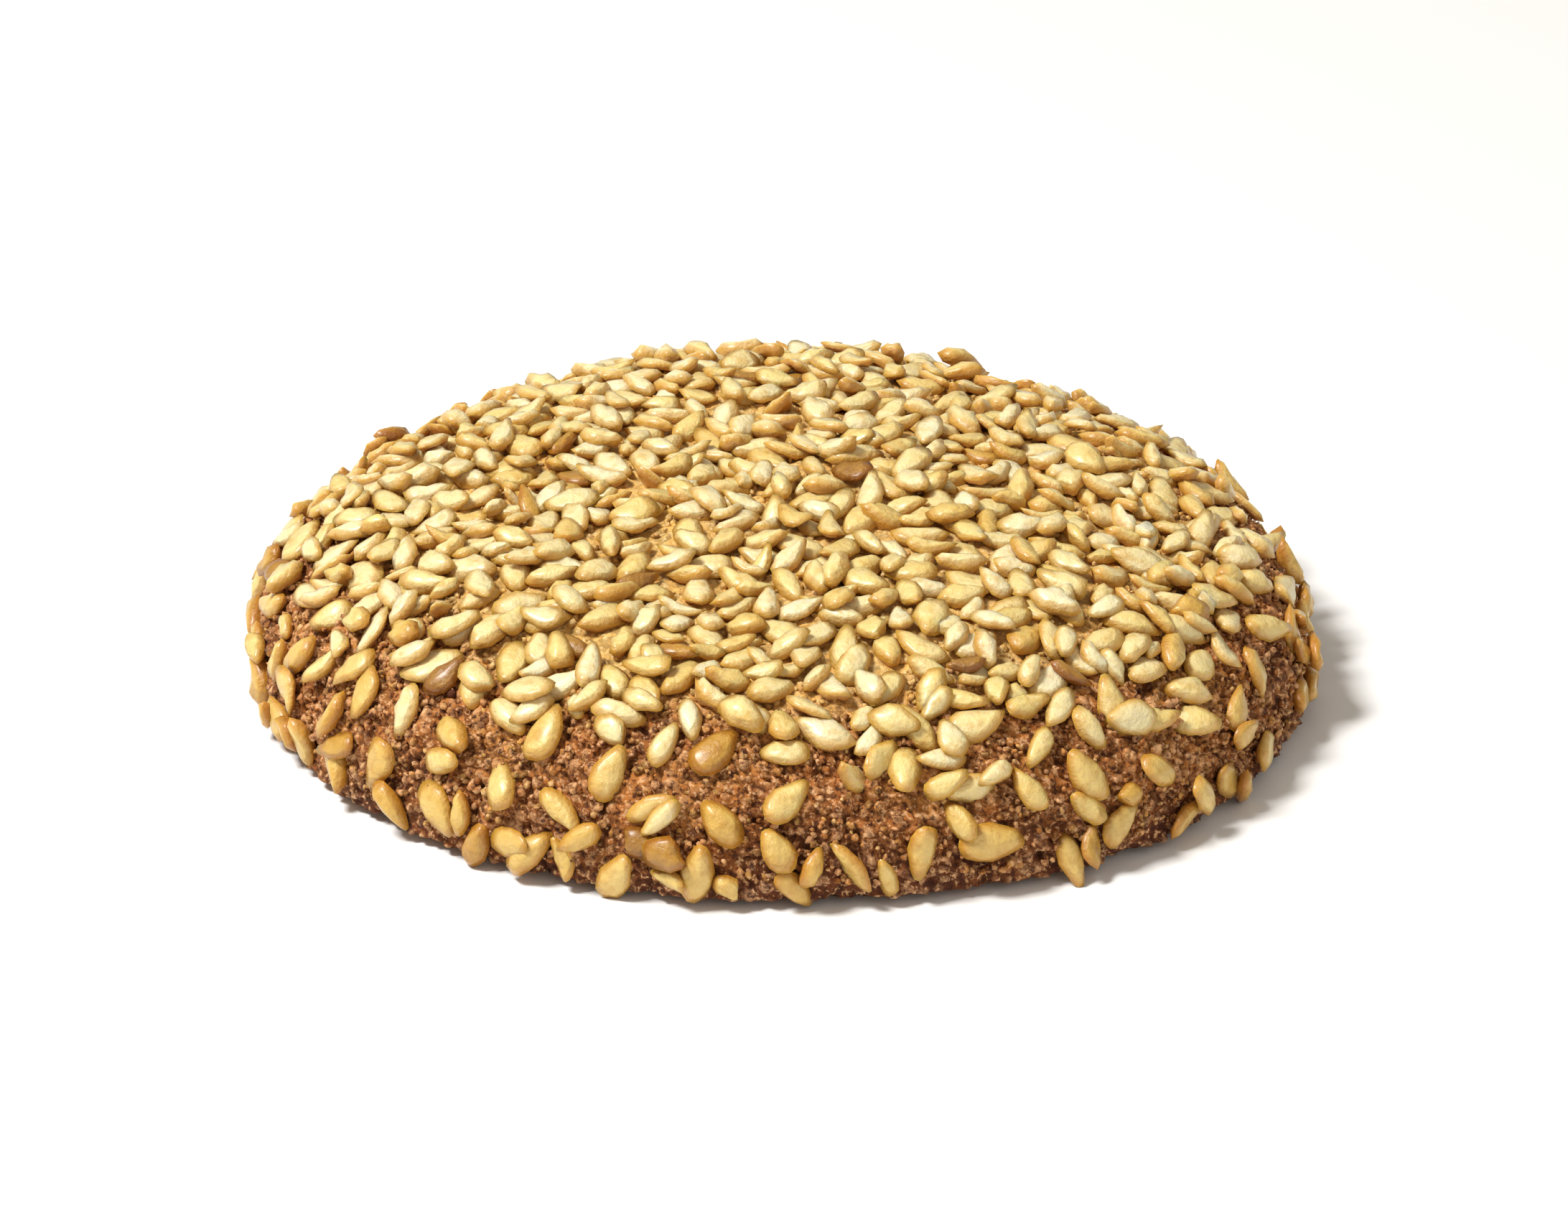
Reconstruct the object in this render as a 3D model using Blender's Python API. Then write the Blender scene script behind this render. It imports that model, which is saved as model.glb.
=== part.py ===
"""Barazek: a round, domed sesame biscuit that lies on its flat underside.

The dough is one solid turned from a rounded profile. Its rim and top wander a little. Sesame seeds
stud the dome and the rim, and a few more seeds and pistachio slivers are baked into the underside.
All of them are fused to the dough. Sizes are in metres, +Z is up, and the origin is at the centre of
the biscuit at the level of the surface it rests on.
"""

import math
import random

import bmesh
import bpy
from mathutils import Matrix, Vector

MM = 0.001

# Dough: outer radius, height of the top above the rest surface, height of its bare underside
DOUGH_RADIUS = 31.9 * MM
DOUGH_HEIGHT = 12.2 * MM
UNDERSIDE_LEVEL = 0.45 * MM

# A larger power makes the top flatter and the shoulder tighter
PROFILE_POWER = 3.0

# Waves round the outline: number of lobes, height, turn of the first lobe
OUTLINE_WAVES = (
    (2, 0.36 * MM, 0.9),
    (3, 0.16 * MM, 2.3),
    (5, 0.14 * MM, 4.1),
    (8, 0.12 * MM, 1.2),
)

# Swells over the top: wavelength, height, heading, phase
TOP_SWELLS = (
    (31.0 * MM, 0.26 * MM, 0.5, 0.4),
    (19.0 * MM, 0.20 * MM, 2.1, 1.9),
    (13.0 * MM, 0.14 * MM, 3.8, 5.0),
)

# Facets of the dough: rings at these shares of the profile, closer together round the shoulder
SEGMENTS = 40
RING_SHARES = (0.26, 0.50, 0.63, 0.705, 0.765, 0.825, 0.90, 1.0)
UNDERSIDE_RING = 0.62
PROFILE_STEPS = 240

# A seed at its middle size, and the least and most it is scaled by
SEED_LENGTH = 3.35 * MM
SEED_WIDTH = 2.0 * MM
SEED_SCALE_MIN = 0.86
SEED_SCALE_MAX = 1.20

# Height of a seed's widest outline above the dough, its back above that, its belly below that
SEED_LIFT = 0.24 * MM
SEED_RISE = 0.46 * MM
SEED_BELLY = 0.90 * MM

# Seeds on the dome and rim, their draws, and how much wider apart they lie on the rim
TOP_SEEDS = 306
TOP_TRIES = 36
TOP_RANDOM = 418
HEADING_TRIES = 12

# Most seeds rock a little. One in so many stands up on its blunt end or its side
SEED_ROCK = 0.16
STANDING_EVERY = 17
STANDING_LEAST = 0.45
STANDING_MOST = 0.95
RIM_SPREAD = 1.14
FACE_EDGE = 0.76
LOWEST_SEED = 0.9 * MM

# Seeds in the underside
UNDERSIDE_SEEDS = 26
UNDERSIDE_TRIES = 14
UNDERSIDE_RANDOM = 77
UNDERSIDE_REACH = 28.5 * MM

# Pistachio slivers in the underside: place, heading, length, width
SLIVERS = (
    (-9.5 * MM, 11.0 * MM, 0.4, 6.2 * MM, 2.6 * MM),
    (12.5 * MM, 8.0 * MM, 1.9, 5.0 * MM, 2.2 * MM),
    (2.0 * MM, -3.5 * MM, 2.7, 5.6 * MM, 2.9 * MM),
    (-15.5 * MM, -8.5 * MM, 1.2, 4.6 * MM, 2.1 * MM),
    (9.0 * MM, -16.0 * MM, 0.2, 6.4 * MM, 2.3 * MM),
)
SLIVER_SINK = 0.7 * MM

# Outline of a seed as parts of its length and width, from the point round to the point again
SEED_OUTLINE = (
    (0.54, 0.00),
    (0.02, 0.50),
    (-0.46, 0.28),
    (-0.46, -0.28),
    (0.02, -0.50),
)

# Flat back of a seed: place along and across it, as parts of its length and width
SEED_BACK = (
    (0.22, 0.00),
    (-0.20, 0.26),
    (-0.20, -0.26),
)

# Pistachio sliver seen from below: an uneven five-sided chip
SLIVER_OUTLINE = (
    (0.50, 0.10),
    (0.12, 0.50),
    (-0.42, 0.34),
    (-0.50, -0.22),
    (0.20, -0.50),
)

CRUST_COLOUR = (0.62, 0.40, 0.17, 1.0)


def clear_scene():
    """Empty the scene of any object."""
    for item in list(bpy.data.objects):
        bpy.data.objects.remove(item, do_unlink=True)


def crust_material():
    """Return the material of the baked biscuit."""
    material = bpy.data.materials.new("sesame_crust")
    material.use_nodes = True
    shader = material.node_tree.nodes["Principled BSDF"]
    shader.inputs["Base Color"].default_value = CRUST_COLOUR
    shader.inputs["Roughness"].default_value = 0.6
    return material


def profile_table():
    """Return (share of the way, radius, height) from the top's centre to the foot of the rim."""
    points = []
    for step in range(PROFILE_STEPS + 1):
        turn = 0.5 * math.pi * step / PROFILE_STEPS
        radius = DOUGH_RADIUS * math.sin(turn) ** (2.0 / PROFILE_POWER)
        fall = max(math.cos(turn), 0.0) ** (2.0 / PROFILE_POWER)
        height = UNDERSIDE_LEVEL + (DOUGH_HEIGHT - UNDERSIDE_LEVEL) * fall
        points.append((radius, height))
    walked = [0.0]
    for before, after in zip(points, points[1:]):
        walked.append(walked[-1] + math.dist(before, after))
    return [(way / walked[-1], *point) for way, point in zip(walked, points)]


PROFILE = profile_table()


def profile(share):
    """Return the radius and height at a share of the way from the top's centre to the rim's foot."""
    share = min(max(share, 0.0), 1.0)
    low, high = 0, len(PROFILE) - 1
    while high - low > 1:
        middle = (low + high) // 2
        if PROFILE[middle][0] <= share:
            low = middle
        else:
            high = middle
    before, after = PROFILE[low], PROFILE[high]
    blend = (share - before[0]) / (after[0] - before[0])
    radius = before[1] + (after[1] - before[1]) * blend
    height = before[2] + (after[2] - before[2]) * blend
    return radius, height


def outline_growth(angle):
    """Return how far the rim stands out at an angle, against a true circle."""
    return sum(size * math.cos(lobes * angle + turn) for lobes, size, turn in OUTLINE_WAVES)


def top_growth(x, y):
    """Return how far the top swells at a place."""
    total = 0.0
    for wavelength, size, heading, phase in TOP_SWELLS:
        along = x * math.cos(heading) + y * math.sin(heading)
        total += size * math.sin(2.0 * math.pi * along / wavelength + phase)
    return total


def dough_point(share, angle):
    """Return the point of the dough's surface at a share of the profile and an angle."""
    radius, height = profile(share)
    radius += outline_growth(angle) * (radius / DOUGH_RADIUS) ** 2
    x = radius * math.cos(angle)
    y = radius * math.sin(angle)
    lift = (height - UNDERSIDE_LEVEL) / (DOUGH_HEIGHT - UNDERSIDE_LEVEL)
    return Vector((x, y, height + top_growth(x, y) * lift))


def dough_frame(share, angle):
    """Return the point, the outward direction and the downhill direction of the dough's surface."""
    share = min(max(share, 0.004), 0.996)
    here = dough_point(share, angle)
    downhill = dough_point(share + 0.003, angle) - dough_point(share - 0.003, angle)
    along = dough_point(share, angle + 0.004) - dough_point(share, angle - 0.004)
    outward = downhill.cross(along).normalized()
    return here, outward, downhill.normalized()


def dough_mesh():
    """Return the bare dough as a closed mesh."""
    shell = bmesh.new()
    top = shell.verts.new(dough_point(0.0, 0.0))
    rings = []
    for ring, share in enumerate(RING_SHARES):
        rings.append([
            shell.verts.new(dough_point(share, 2.0 * math.pi * (step + 0.5 * (ring % 2)) / SEGMENTS))
            for step in range(SEGMENTS)
        ])
    inner = []
    for step in range(SEGMENTS // 2):
        angle = 4.0 * math.pi * step / SEGMENTS
        radius = UNDERSIDE_RING * DOUGH_RADIUS
        inner.append(shell.verts.new((radius * math.cos(angle), radius * math.sin(angle), UNDERSIDE_LEVEL)))
    bottom = shell.verts.new((0.0, 0.0, UNDERSIDE_LEVEL))

    for step in range(SEGMENTS):
        after = (step + 1) % SEGMENTS
        shell.faces.new((top, rings[0][step], rings[0][after]))
        for ring, (upper, lower) in enumerate(zip(rings, rings[1:])):
            if ring % 2 == 1:
                shell.faces.new((upper[step], lower[after], upper[after]))
                shell.faces.new((upper[step], lower[step], lower[after]))
            else:
                shell.faces.new((upper[step], lower[step], upper[after]))
                shell.faces.new((upper[after], lower[step], lower[after]))
    foot = rings[-1]
    for step in range(SEGMENTS // 2):
        after = (step + 1) % (SEGMENTS // 2)
        first = foot[2 * step]
        second = foot[(2 * step + 1) % SEGMENTS]
        third = foot[(2 * step + 2) % SEGMENTS]
        shell.faces.new((inner[step], second, first))
        shell.faces.new((inner[step], inner[after], second))
        shell.faces.new((inner[after], third, second))
        shell.faces.new((bottom, inner[after], inner[step]))
    bmesh.ops.recalc_face_normals(shell, faces=shell.faces)
    return shell


def closed_piece(outline, back, belly):
    """Return a small closed mesh: an outline ring, a raised back of fewer points and a sunk belly."""
    piece = bmesh.new()
    points = [piece.verts.new(point) for point in outline + back + [belly]]
    bmesh.ops.convex_hull(piece, input=points)
    loose = [point for point in piece.verts if not point.link_faces]
    bmesh.ops.delete(piece, geom=loose, context="VERTS")
    bmesh.ops.triangulate(piece, faces=piece.faces)
    bmesh.ops.recalc_face_normals(piece, faces=piece.faces)
    return piece


def seed_mesh(scale, slimness):
    """Return a sesame seed that points along +X, with the dough's surface at its z = 0."""
    length = SEED_LENGTH * scale
    width = SEED_WIDTH * scale * slimness
    outline = [(x * length, y * width, SEED_LIFT) for x, y in SEED_OUTLINE]
    back = [(x * length, y * width, SEED_LIFT + SEED_RISE * scale) for x, y in SEED_BACK]
    belly = (-0.05 * length, 0.0, SEED_LIFT - SEED_BELLY)
    return closed_piece(outline, back, belly)


def add_piece(piece, name, placing, floor, pieces):
    """Move a small mesh to its place, keep it above a level, and add it to a collection."""
    bmesh.ops.transform(piece, matrix=placing, verts=piece.verts)
    for point in piece.verts:
        point.co.z = max(point.co.z, floor)
    mesh = bpy.data.meshes.new(name)
    piece.to_mesh(mesh)
    piece.free()
    pieces.objects.link(bpy.data.objects.new(name, mesh))


def placing_matrix(point, outward, heading, pitch=0.0, roll=0.0):
    """Return the matrix that sets a piece at a point, its back outward and its tip along a heading.

    Pitch lifts the tip off the dough and roll lifts one side.
    """
    ahead = (heading - outward * heading.dot(outward)).normalized()
    aside = outward.cross(ahead)
    turned = Matrix((ahead, aside, outward)).transposed().to_4x4()
    rocked = Matrix.Rotation(-pitch, 4, "Y") @ Matrix.Rotation(roll, 4, "X")
    return Matrix.Translation(point) @ turned @ rocked


def seed_sizes(draw, count):
    """Return a size and a slimness for each seed, the largest seed first."""
    sizes = sorted((draw.triangular(SEED_SCALE_MIN, SEED_SCALE_MAX, 1.0) for _ in range(count)), reverse=True)
    return [(size, draw.uniform(0.9, 1.1)) for size in sizes]


def clearest_heading(draw, point, outward, length, laid):
    """Return the best of several headings: the one whose two ends stay farthest from the seeds laid."""
    across = outward.orthogonal().normalized()
    up = outward.cross(across)
    first = draw.uniform(0.0, 2.0 * math.pi)
    near = [ends for middle, ends in laid if (middle - point).length < 2.5 * SEED_LENGTH]
    best = None
    for attempt in range(HEADING_TRIES):
        angle = first + math.pi * attempt / HEADING_TRIES
        heading = across * math.cos(angle) + up * math.sin(angle)
        ends = [point + heading * length * part for part in (-0.34, 0.0, 0.34)]
        room = min(((end - other).length for end in ends for group in near for other in group), default=1.0)
        if best is None or room > best[0]:
            best = (room, heading, ends)
    return best[1], best[2]


def seed_rock(draw, number):
    """Return how far a seed pitches and rolls, for its number in the order of laying."""
    pitch = draw.gauss(0.0, SEED_ROCK)
    roll = draw.gauss(0.0, SEED_ROCK)
    if number % STANDING_EVERY == STANDING_EVERY - 1:
        steep = draw.uniform(STANDING_LEAST, STANDING_MOST)
        if draw.random() < 0.5:
            pitch = steep
        else:
            roll = math.copysign(steep, roll)
    return pitch, roll


def top_seeds():
    """Return size, slimness, point, outward direction, heading, pitch and roll for each upper seed."""
    draw = random.Random(TOP_RANDOM)
    laid = []
    seeds = []
    for number, (scale, slimness) in enumerate(seed_sizes(draw, TOP_SEEDS)):
        best = None
        for _ in range(TOP_TRIES):
            while True:
                share = draw.random()
                radius, height = profile(share)
                if draw.random() * DOUGH_RADIUS < radius and height > LOWEST_SEED + UNDERSIDE_LEVEL:
                    break
            angle = draw.uniform(0.0, 2.0 * math.pi)
            point = dough_point(share, angle)
            spread = 1.0 + (RIM_SPREAD - 1.0) * min(max((share - FACE_EDGE) / 0.1, 0.0), 1.0)
            room = min(((middle - point).length for middle, _ in laid), default=1.0) / spread
            if best is None or room > best[0]:
                best = (room, share, angle)
        point, outward, _ = dough_frame(best[1], best[2])
        heading, ends = clearest_heading(draw, point, outward, SEED_LENGTH * scale, laid)
        laid.append((point, ends))
        seeds.append((scale, slimness, point, outward, heading, *seed_rock(draw, number)))
    return seeds


def underside_seeds():
    """Return size, slimness, point, outward direction and heading for each seed of the underside."""
    draw = random.Random(UNDERSIDE_RANDOM)
    down = Vector((0.0, 0.0, -1.0))
    laid = []
    for x, y, turn, length, _ in SLIVERS:
        middle = Vector((x, y, UNDERSIDE_LEVEL))
        ahead = Vector((math.cos(turn), math.sin(turn), 0.0)) * length
        laid.append((middle, [middle + ahead * part for part in (-0.4, 0.0, 0.4)]))
    seeds = []
    for scale, slimness in seed_sizes(draw, UNDERSIDE_SEEDS):
        best = None
        for _ in range(UNDERSIDE_TRIES):
            radius = UNDERSIDE_REACH * math.sqrt(draw.random())
            angle = draw.uniform(0.0, 2.0 * math.pi)
            point = Vector((radius * math.cos(angle), radius * math.sin(angle), UNDERSIDE_LEVEL))
            room = min((middle - point).length for middle, _ in laid)
            if best is None or room > best[0]:
                best = (room, point)
        heading, ends = clearest_heading(draw, best[1], down, SEED_LENGTH * scale, laid)
        laid.append((best[1], ends))
        seeds.append((scale, slimness, best[1], down, heading))
    return seeds


def sliver_mesh(length, width):
    """Return a pistachio sliver with the dough's surface at its z = 0 and its flat side outward."""
    outline = [(x * length, y * width, 0.3 * UNDERSIDE_LEVEL) for x, y in SLIVER_OUTLINE]
    back = [(0.82 * x * length, 0.82 * y * width, UNDERSIDE_LEVEL) for x, y in SLIVER_OUTLINE]
    belly = (0.0, 0.0, -SLIVER_SINK)
    return closed_piece(outline, back, belly)


def fuse(body, pieces):
    """Join every piece of a collection to a body with one union, then remove the pieces."""
    joint = body.modifiers.new("fused_toppings", "BOOLEAN")
    joint.operation = "UNION"
    joint.operand_type = "COLLECTION"
    joint.collection = pieces
    joint.solver = "EXACT"
    bpy.context.view_layer.objects.active = body
    bpy.ops.object.modifier_apply(modifier=joint.name)
    for piece in list(pieces.objects):
        bpy.data.objects.remove(piece, do_unlink=True)
    bpy.data.collections.remove(pieces)


def build():
    """Build the barazek."""
    clear_scene()
    mesh = bpy.data.meshes.new("barazek")
    shell = dough_mesh()
    shell.to_mesh(mesh)
    shell.free()
    mesh.materials.append(crust_material())
    body = bpy.data.objects.new("barazek", mesh)
    bpy.context.scene.collection.objects.link(body)

    pieces = bpy.data.collections.new("toppings")
    bpy.context.scene.collection.children.link(pieces)
    for number, (scale, slimness, point, outward, heading, pitch, roll) in enumerate(top_seeds()):
        placing = placing_matrix(point, outward, heading, pitch, roll)
        add_piece(seed_mesh(scale, slimness), f"top_seed_{number:03d}", placing, 0.0, pieces)
    for number, (scale, slimness, point, outward, heading) in enumerate(underside_seeds()):
        placing = placing_matrix(point, outward, heading)
        add_piece(seed_mesh(scale, slimness), f"underside_seed_{number:03d}", placing, 0.0, pieces)
    for number, (x, y, turn, length, width) in enumerate(SLIVERS):
        middle = Vector((x, y, UNDERSIDE_LEVEL))
        heading = Vector((math.cos(turn), math.sin(turn), 0.0))
        placing = placing_matrix(middle, Vector((0.0, 0.0, -1.0)), heading)
        add_piece(sliver_mesh(length, width), f"pistachio_{number}", placing, 0.0, pieces)
    fuse(body, pieces)


build()
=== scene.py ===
"""Looks of the barazek: baked dough, sesame seeds and pistachio slivers, dressed over its solid.

The dough is one mesh with a granular, cracked crust. The seeds that the solid holds lie where it
holds them, laid by the same seeded rule, and smaller seeds fill the gaps and lean on them. All
sizes are in metres, in the frame of the solid. A share tells how far along the dough's profile a
place lies: 0 at the top's centre, 1 at the rim's foot and 2 at the underside's centre.
"""

import logging
import math
import random
from bisect import bisect_right
from collections.abc import Callable
from dataclasses import dataclass, field, replace
from enum import Enum
from functools import partial
from operator import attrgetter, itemgetter

import bmesh
import bpy
import numpy as np
from mathutils import Matrix, Vector, noise


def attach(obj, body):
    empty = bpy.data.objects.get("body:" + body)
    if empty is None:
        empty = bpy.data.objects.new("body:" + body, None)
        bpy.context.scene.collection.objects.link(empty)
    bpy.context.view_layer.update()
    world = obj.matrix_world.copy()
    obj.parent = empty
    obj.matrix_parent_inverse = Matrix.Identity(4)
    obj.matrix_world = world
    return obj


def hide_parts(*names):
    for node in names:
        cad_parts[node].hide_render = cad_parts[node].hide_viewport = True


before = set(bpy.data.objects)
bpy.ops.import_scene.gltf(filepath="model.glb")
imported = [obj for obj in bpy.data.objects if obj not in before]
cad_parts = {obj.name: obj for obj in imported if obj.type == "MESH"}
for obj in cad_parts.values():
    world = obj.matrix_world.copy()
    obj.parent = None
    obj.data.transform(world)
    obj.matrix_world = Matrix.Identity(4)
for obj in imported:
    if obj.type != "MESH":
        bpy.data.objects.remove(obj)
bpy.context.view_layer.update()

MM = 0.001
FULL_TURN = 2.0 * math.pi
NODE = "barazek"
BODY = "root"
DOWN = Vector((0.0, 0.0, -1.0))

# The share at which the dough starts to turn brown, and the share that it takes
RIM_BROWNING = (0.60, 0.13)

# Settings of the nodes that lay one colour over another, or multiply it
COVER = {"data_type": "RGBA"}
TINT = {"data_type": "RGBA", "blend_type": "MULTIPLY"}

log = logging.getLogger("barazek")


def clamp(value: float, low: float = 0.0, high: float = 1.0) -> float:
    """Hold a value between two ends."""
    return min(max(value, low), high)


def climb(value: float, start: float, length: float) -> float:
    """Return how far a value has come from a start over a length, held between 0 and 1."""
    return clamp((value - start) / length)


def linear(shade: str) -> tuple[float, float, float, float]:
    """Turn an sRGB hex colour into linear light.

    Args:
        shade: The colour, as "#rrggbb".

    Returns:
        Red, green, blue and alpha, from 0 to 1.
    """
    parts = []
    for start in (1, 3, 5):
        value = int(shade[start:start + 2], 16) / 255.0
        parts.append(value / 12.92 if value <= 0.04045 else ((value + 0.055) / 1.055) ** 2.4)
    return (parts[0], parts[1], parts[2], 1.0)


def set_stops(ramp: bpy.types.ColorRamp, stops: tuple[tuple[float, str], ...]) -> None:
    """Set the stops of a colour ramp.

    Args:
        ramp: The ramp.
        stops: Place from 0 to 1 and sRGB hex colour of each stop.
    """
    while len(ramp.elements) < len(stops):
        ramp.elements.new(1.0)
    for element, (place, shade) in zip(ramp.elements, stops):
        element.position = place
        element.color = linear(shade)


def fill(node: bpy.types.Node, inputs: dict[str | int, object]) -> None:
    """Set or link a node's inputs.

    Args:
        node: The node.
        inputs: What each input in use gets, by its name or number: a value, an output socket, or a
            node for its first output in use.
    """
    for name, value in inputs.items():
        if isinstance(name, int):
            socket = node.inputs[name]
        else:
            socket = next(found for found in node.inputs if found.enabled and found.name == name)
        if isinstance(value, bpy.types.Node):
            value = next(output for output in value.outputs if output.enabled)
        if isinstance(value, bpy.types.NodeSocket):
            node.id_data.links.new(value, socket)
        else:
            socket.default_value = value


def add_node(
    tree: bpy.types.NodeTree, kind: str, inputs: dict[str | int, object], **settings: object
) -> bpy.types.Node:
    """Add a shader node, set it up and link its inputs.

    Args:
        tree: The material's node tree.
        kind: The node's type after "ShaderNode", such as "TexNoise".
        inputs: What its inputs get, as fill takes it.
        **settings: Its attributes, and the stops of its colour ramp.

    Returns:
        The new node.
    """
    node = tree.nodes.new("ShaderNode" + kind)
    for name, value in settings.items():
        if name == "stops":
            set_stops(node.color_ramp, value)
        else:
            setattr(node, name, value)
    fill(node, inputs)
    return node


def start_material(
    name: str, inputs: dict[str | int, object]
) -> tuple[bpy.types.Material, bpy.types.Node, Callable[..., bpy.types.Node]]:
    """Start a material.

    Args:
        name: The material's name.
        inputs: The values that are even all over it, by the inputs of its shader.

    Returns:
        The material, its shader, and add_node for its tree.
    """
    made = bpy.data.materials.new(name)
    made.use_nodes = True
    shader = made.node_tree.nodes["Principled BSDF"]
    fill(shader, inputs)
    return made, shader, partial(add_node, made.node_tree)


# Finishes


@dataclass(frozen=True)
class BakedDough:
    """Baked biscuit dough: a matte, sandy crumb, golden on top and brown where the oven caught it, with
    painted shade in its crevices.
    """

    golden: str = "#e4b562"
    tan: str = "#cd974a"
    brown: str = "#ae6929"
    scorched: str = "#6b3510"
    # The crevices' painted shade, and the colour of the scorched sugar specks
    crevice: str = "#451c06"
    golden_crest: str = "#f6d592"
    brown_crest: str = "#ecb782"
    grain: float = 0.45 * MM
    speck: float = 0.35 * MM
    patch: float = 6.0 * MM
    grit: float = 0.3 * MM
    grit_depth: float = 0.22 * MM
    glazed: float = 0.42
    sandy: float = 0.80
    refraction: float = 1.45

    def material(self) -> bpy.types.Material:
        """Make the dough's material.

        Returns:
            The material.
        """
        made, shader, add = start_material("baked_dough", {"IOR": self.refraction})
        where = add("TexCoord", {}).outputs["Object"]
        bake = add("Attribute", {}, attribute_name="bake").outputs["Fac"]
        crag = add("Attribute", {}, attribute_name="crag").outputs["Fac"]

        # Honeyed and a little glossy where it is golden, dry and sandy where it is brown
        dryness = {"From Min": 0.1, "From Max": 0.6, "To Min": self.glazed, "To Max": self.sandy}
        rough = add("MapRange", {"Value": bake, **dryness})

        # Patches a few millimetres across where the crust browned unevenly
        broad = {"Scale": 1.0 / self.patch, "Detail": 3.0, "Roughness": 0.55}
        patches = add("TexNoise", {"Vector": where, **broad})
        shift = add("Math", {0: patches, 1: 0.5, 2: -0.25}, operation="MULTIPLY_ADD")
        baked = add("Math", {0: bake, 1: shift}, operation="ADD", use_clamp=True)
        stops = ((0.0, self.golden), (0.35, self.tan), (0.7, self.brown), (1.0, self.scorched))
        crust = add("ValToRGB", {"Fac": baked}, stops=stops)

        # Sandy crumb: grains about half a millimetre across, each a little lighter or darker
        grains = add("TexVoronoi", {"Vector": where, "Scale": 1.0 / self.grain, "Randomness": 1.0})
        tone = add("SeparateColor", {"Color": grains.outputs["Color"]})
        lift = add("MapRange", {"Value": tone, "To Min": 0.60, "To Max": 1.32})
        toned = add("Mix", {"Factor": 1.0, "A": crust, "B": lift}, **TINT)

        # Crevices are darkened with painted shade and scorched sugar, and the higher crests are paler
        crevice = linear(self.crevice)
        crevice_shade = add("MapRange", {"Value": crag, "From Min": 0.52, "From Max": 0.14, "To Max": 0.95})
        cracked = add("MapRange", {"Value": bake, "From Min": 0.1, "From Max": 0.5, "To Min": 0.2})
        painted_shade = add("Math", {0: crevice_shade, 1: cracked}, operation="MULTIPLY")
        shaded_crust = add("Mix", {"Factor": painted_shade, "A": toned, "B": crevice}, **COVER)
        high = add("MapRange", {"Value": crag, "From Min": 0.62, "From Max": 1.0, "To Max": 0.5})
        crest = add("ValToRGB", {"Fac": bake}, stops=((0.15, self.golden_crest), (0.5, self.brown_crest)))
        paler = add("Mix", {"Factor": high, "A": shaded_crust, "B": crest}, **COVER)

        # Specks of scorched sugar and of bare flour, about a third of a millimetre across
        small = {"Scale": 1.0 / self.speck, "Detail": 2.0, "Roughness": 0.6}
        specks = add("TexNoise", {"Vector": where, **small})
        dark = add("MapRange", {"Value": specks, "From Min": 0.47, "From Max": 0.35, "To Max": 0.9})
        burnt = add("Math", {0: dark, 1: cracked}, operation="MULTIPLY")
        scorched = add("Mix", {"Factor": burnt, "A": paler, "B": crevice}, **COVER)
        light = add("MapRange", {"Value": specks, "From Min": 0.55, "From Max": 0.65, "To Max": 0.9})
        floured = add("Mix", {"Factor": light, "A": scorched, "B": crest}, **COVER)

        # Fine grit between the modelled crags
        fine = {"Scale": 1.0 / self.grit, "Detail": 4.0, "Roughness": 0.7}
        grit = add("TexNoise", {"Vector": where, **fine})
        bump = add("Bump", {"Height": grit, "Strength": 1.0, "Distance": self.grit_depth})
        fill(shader, {"Base Color": floured, "Roughness": rough, "Normal": bump})
        return made


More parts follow.
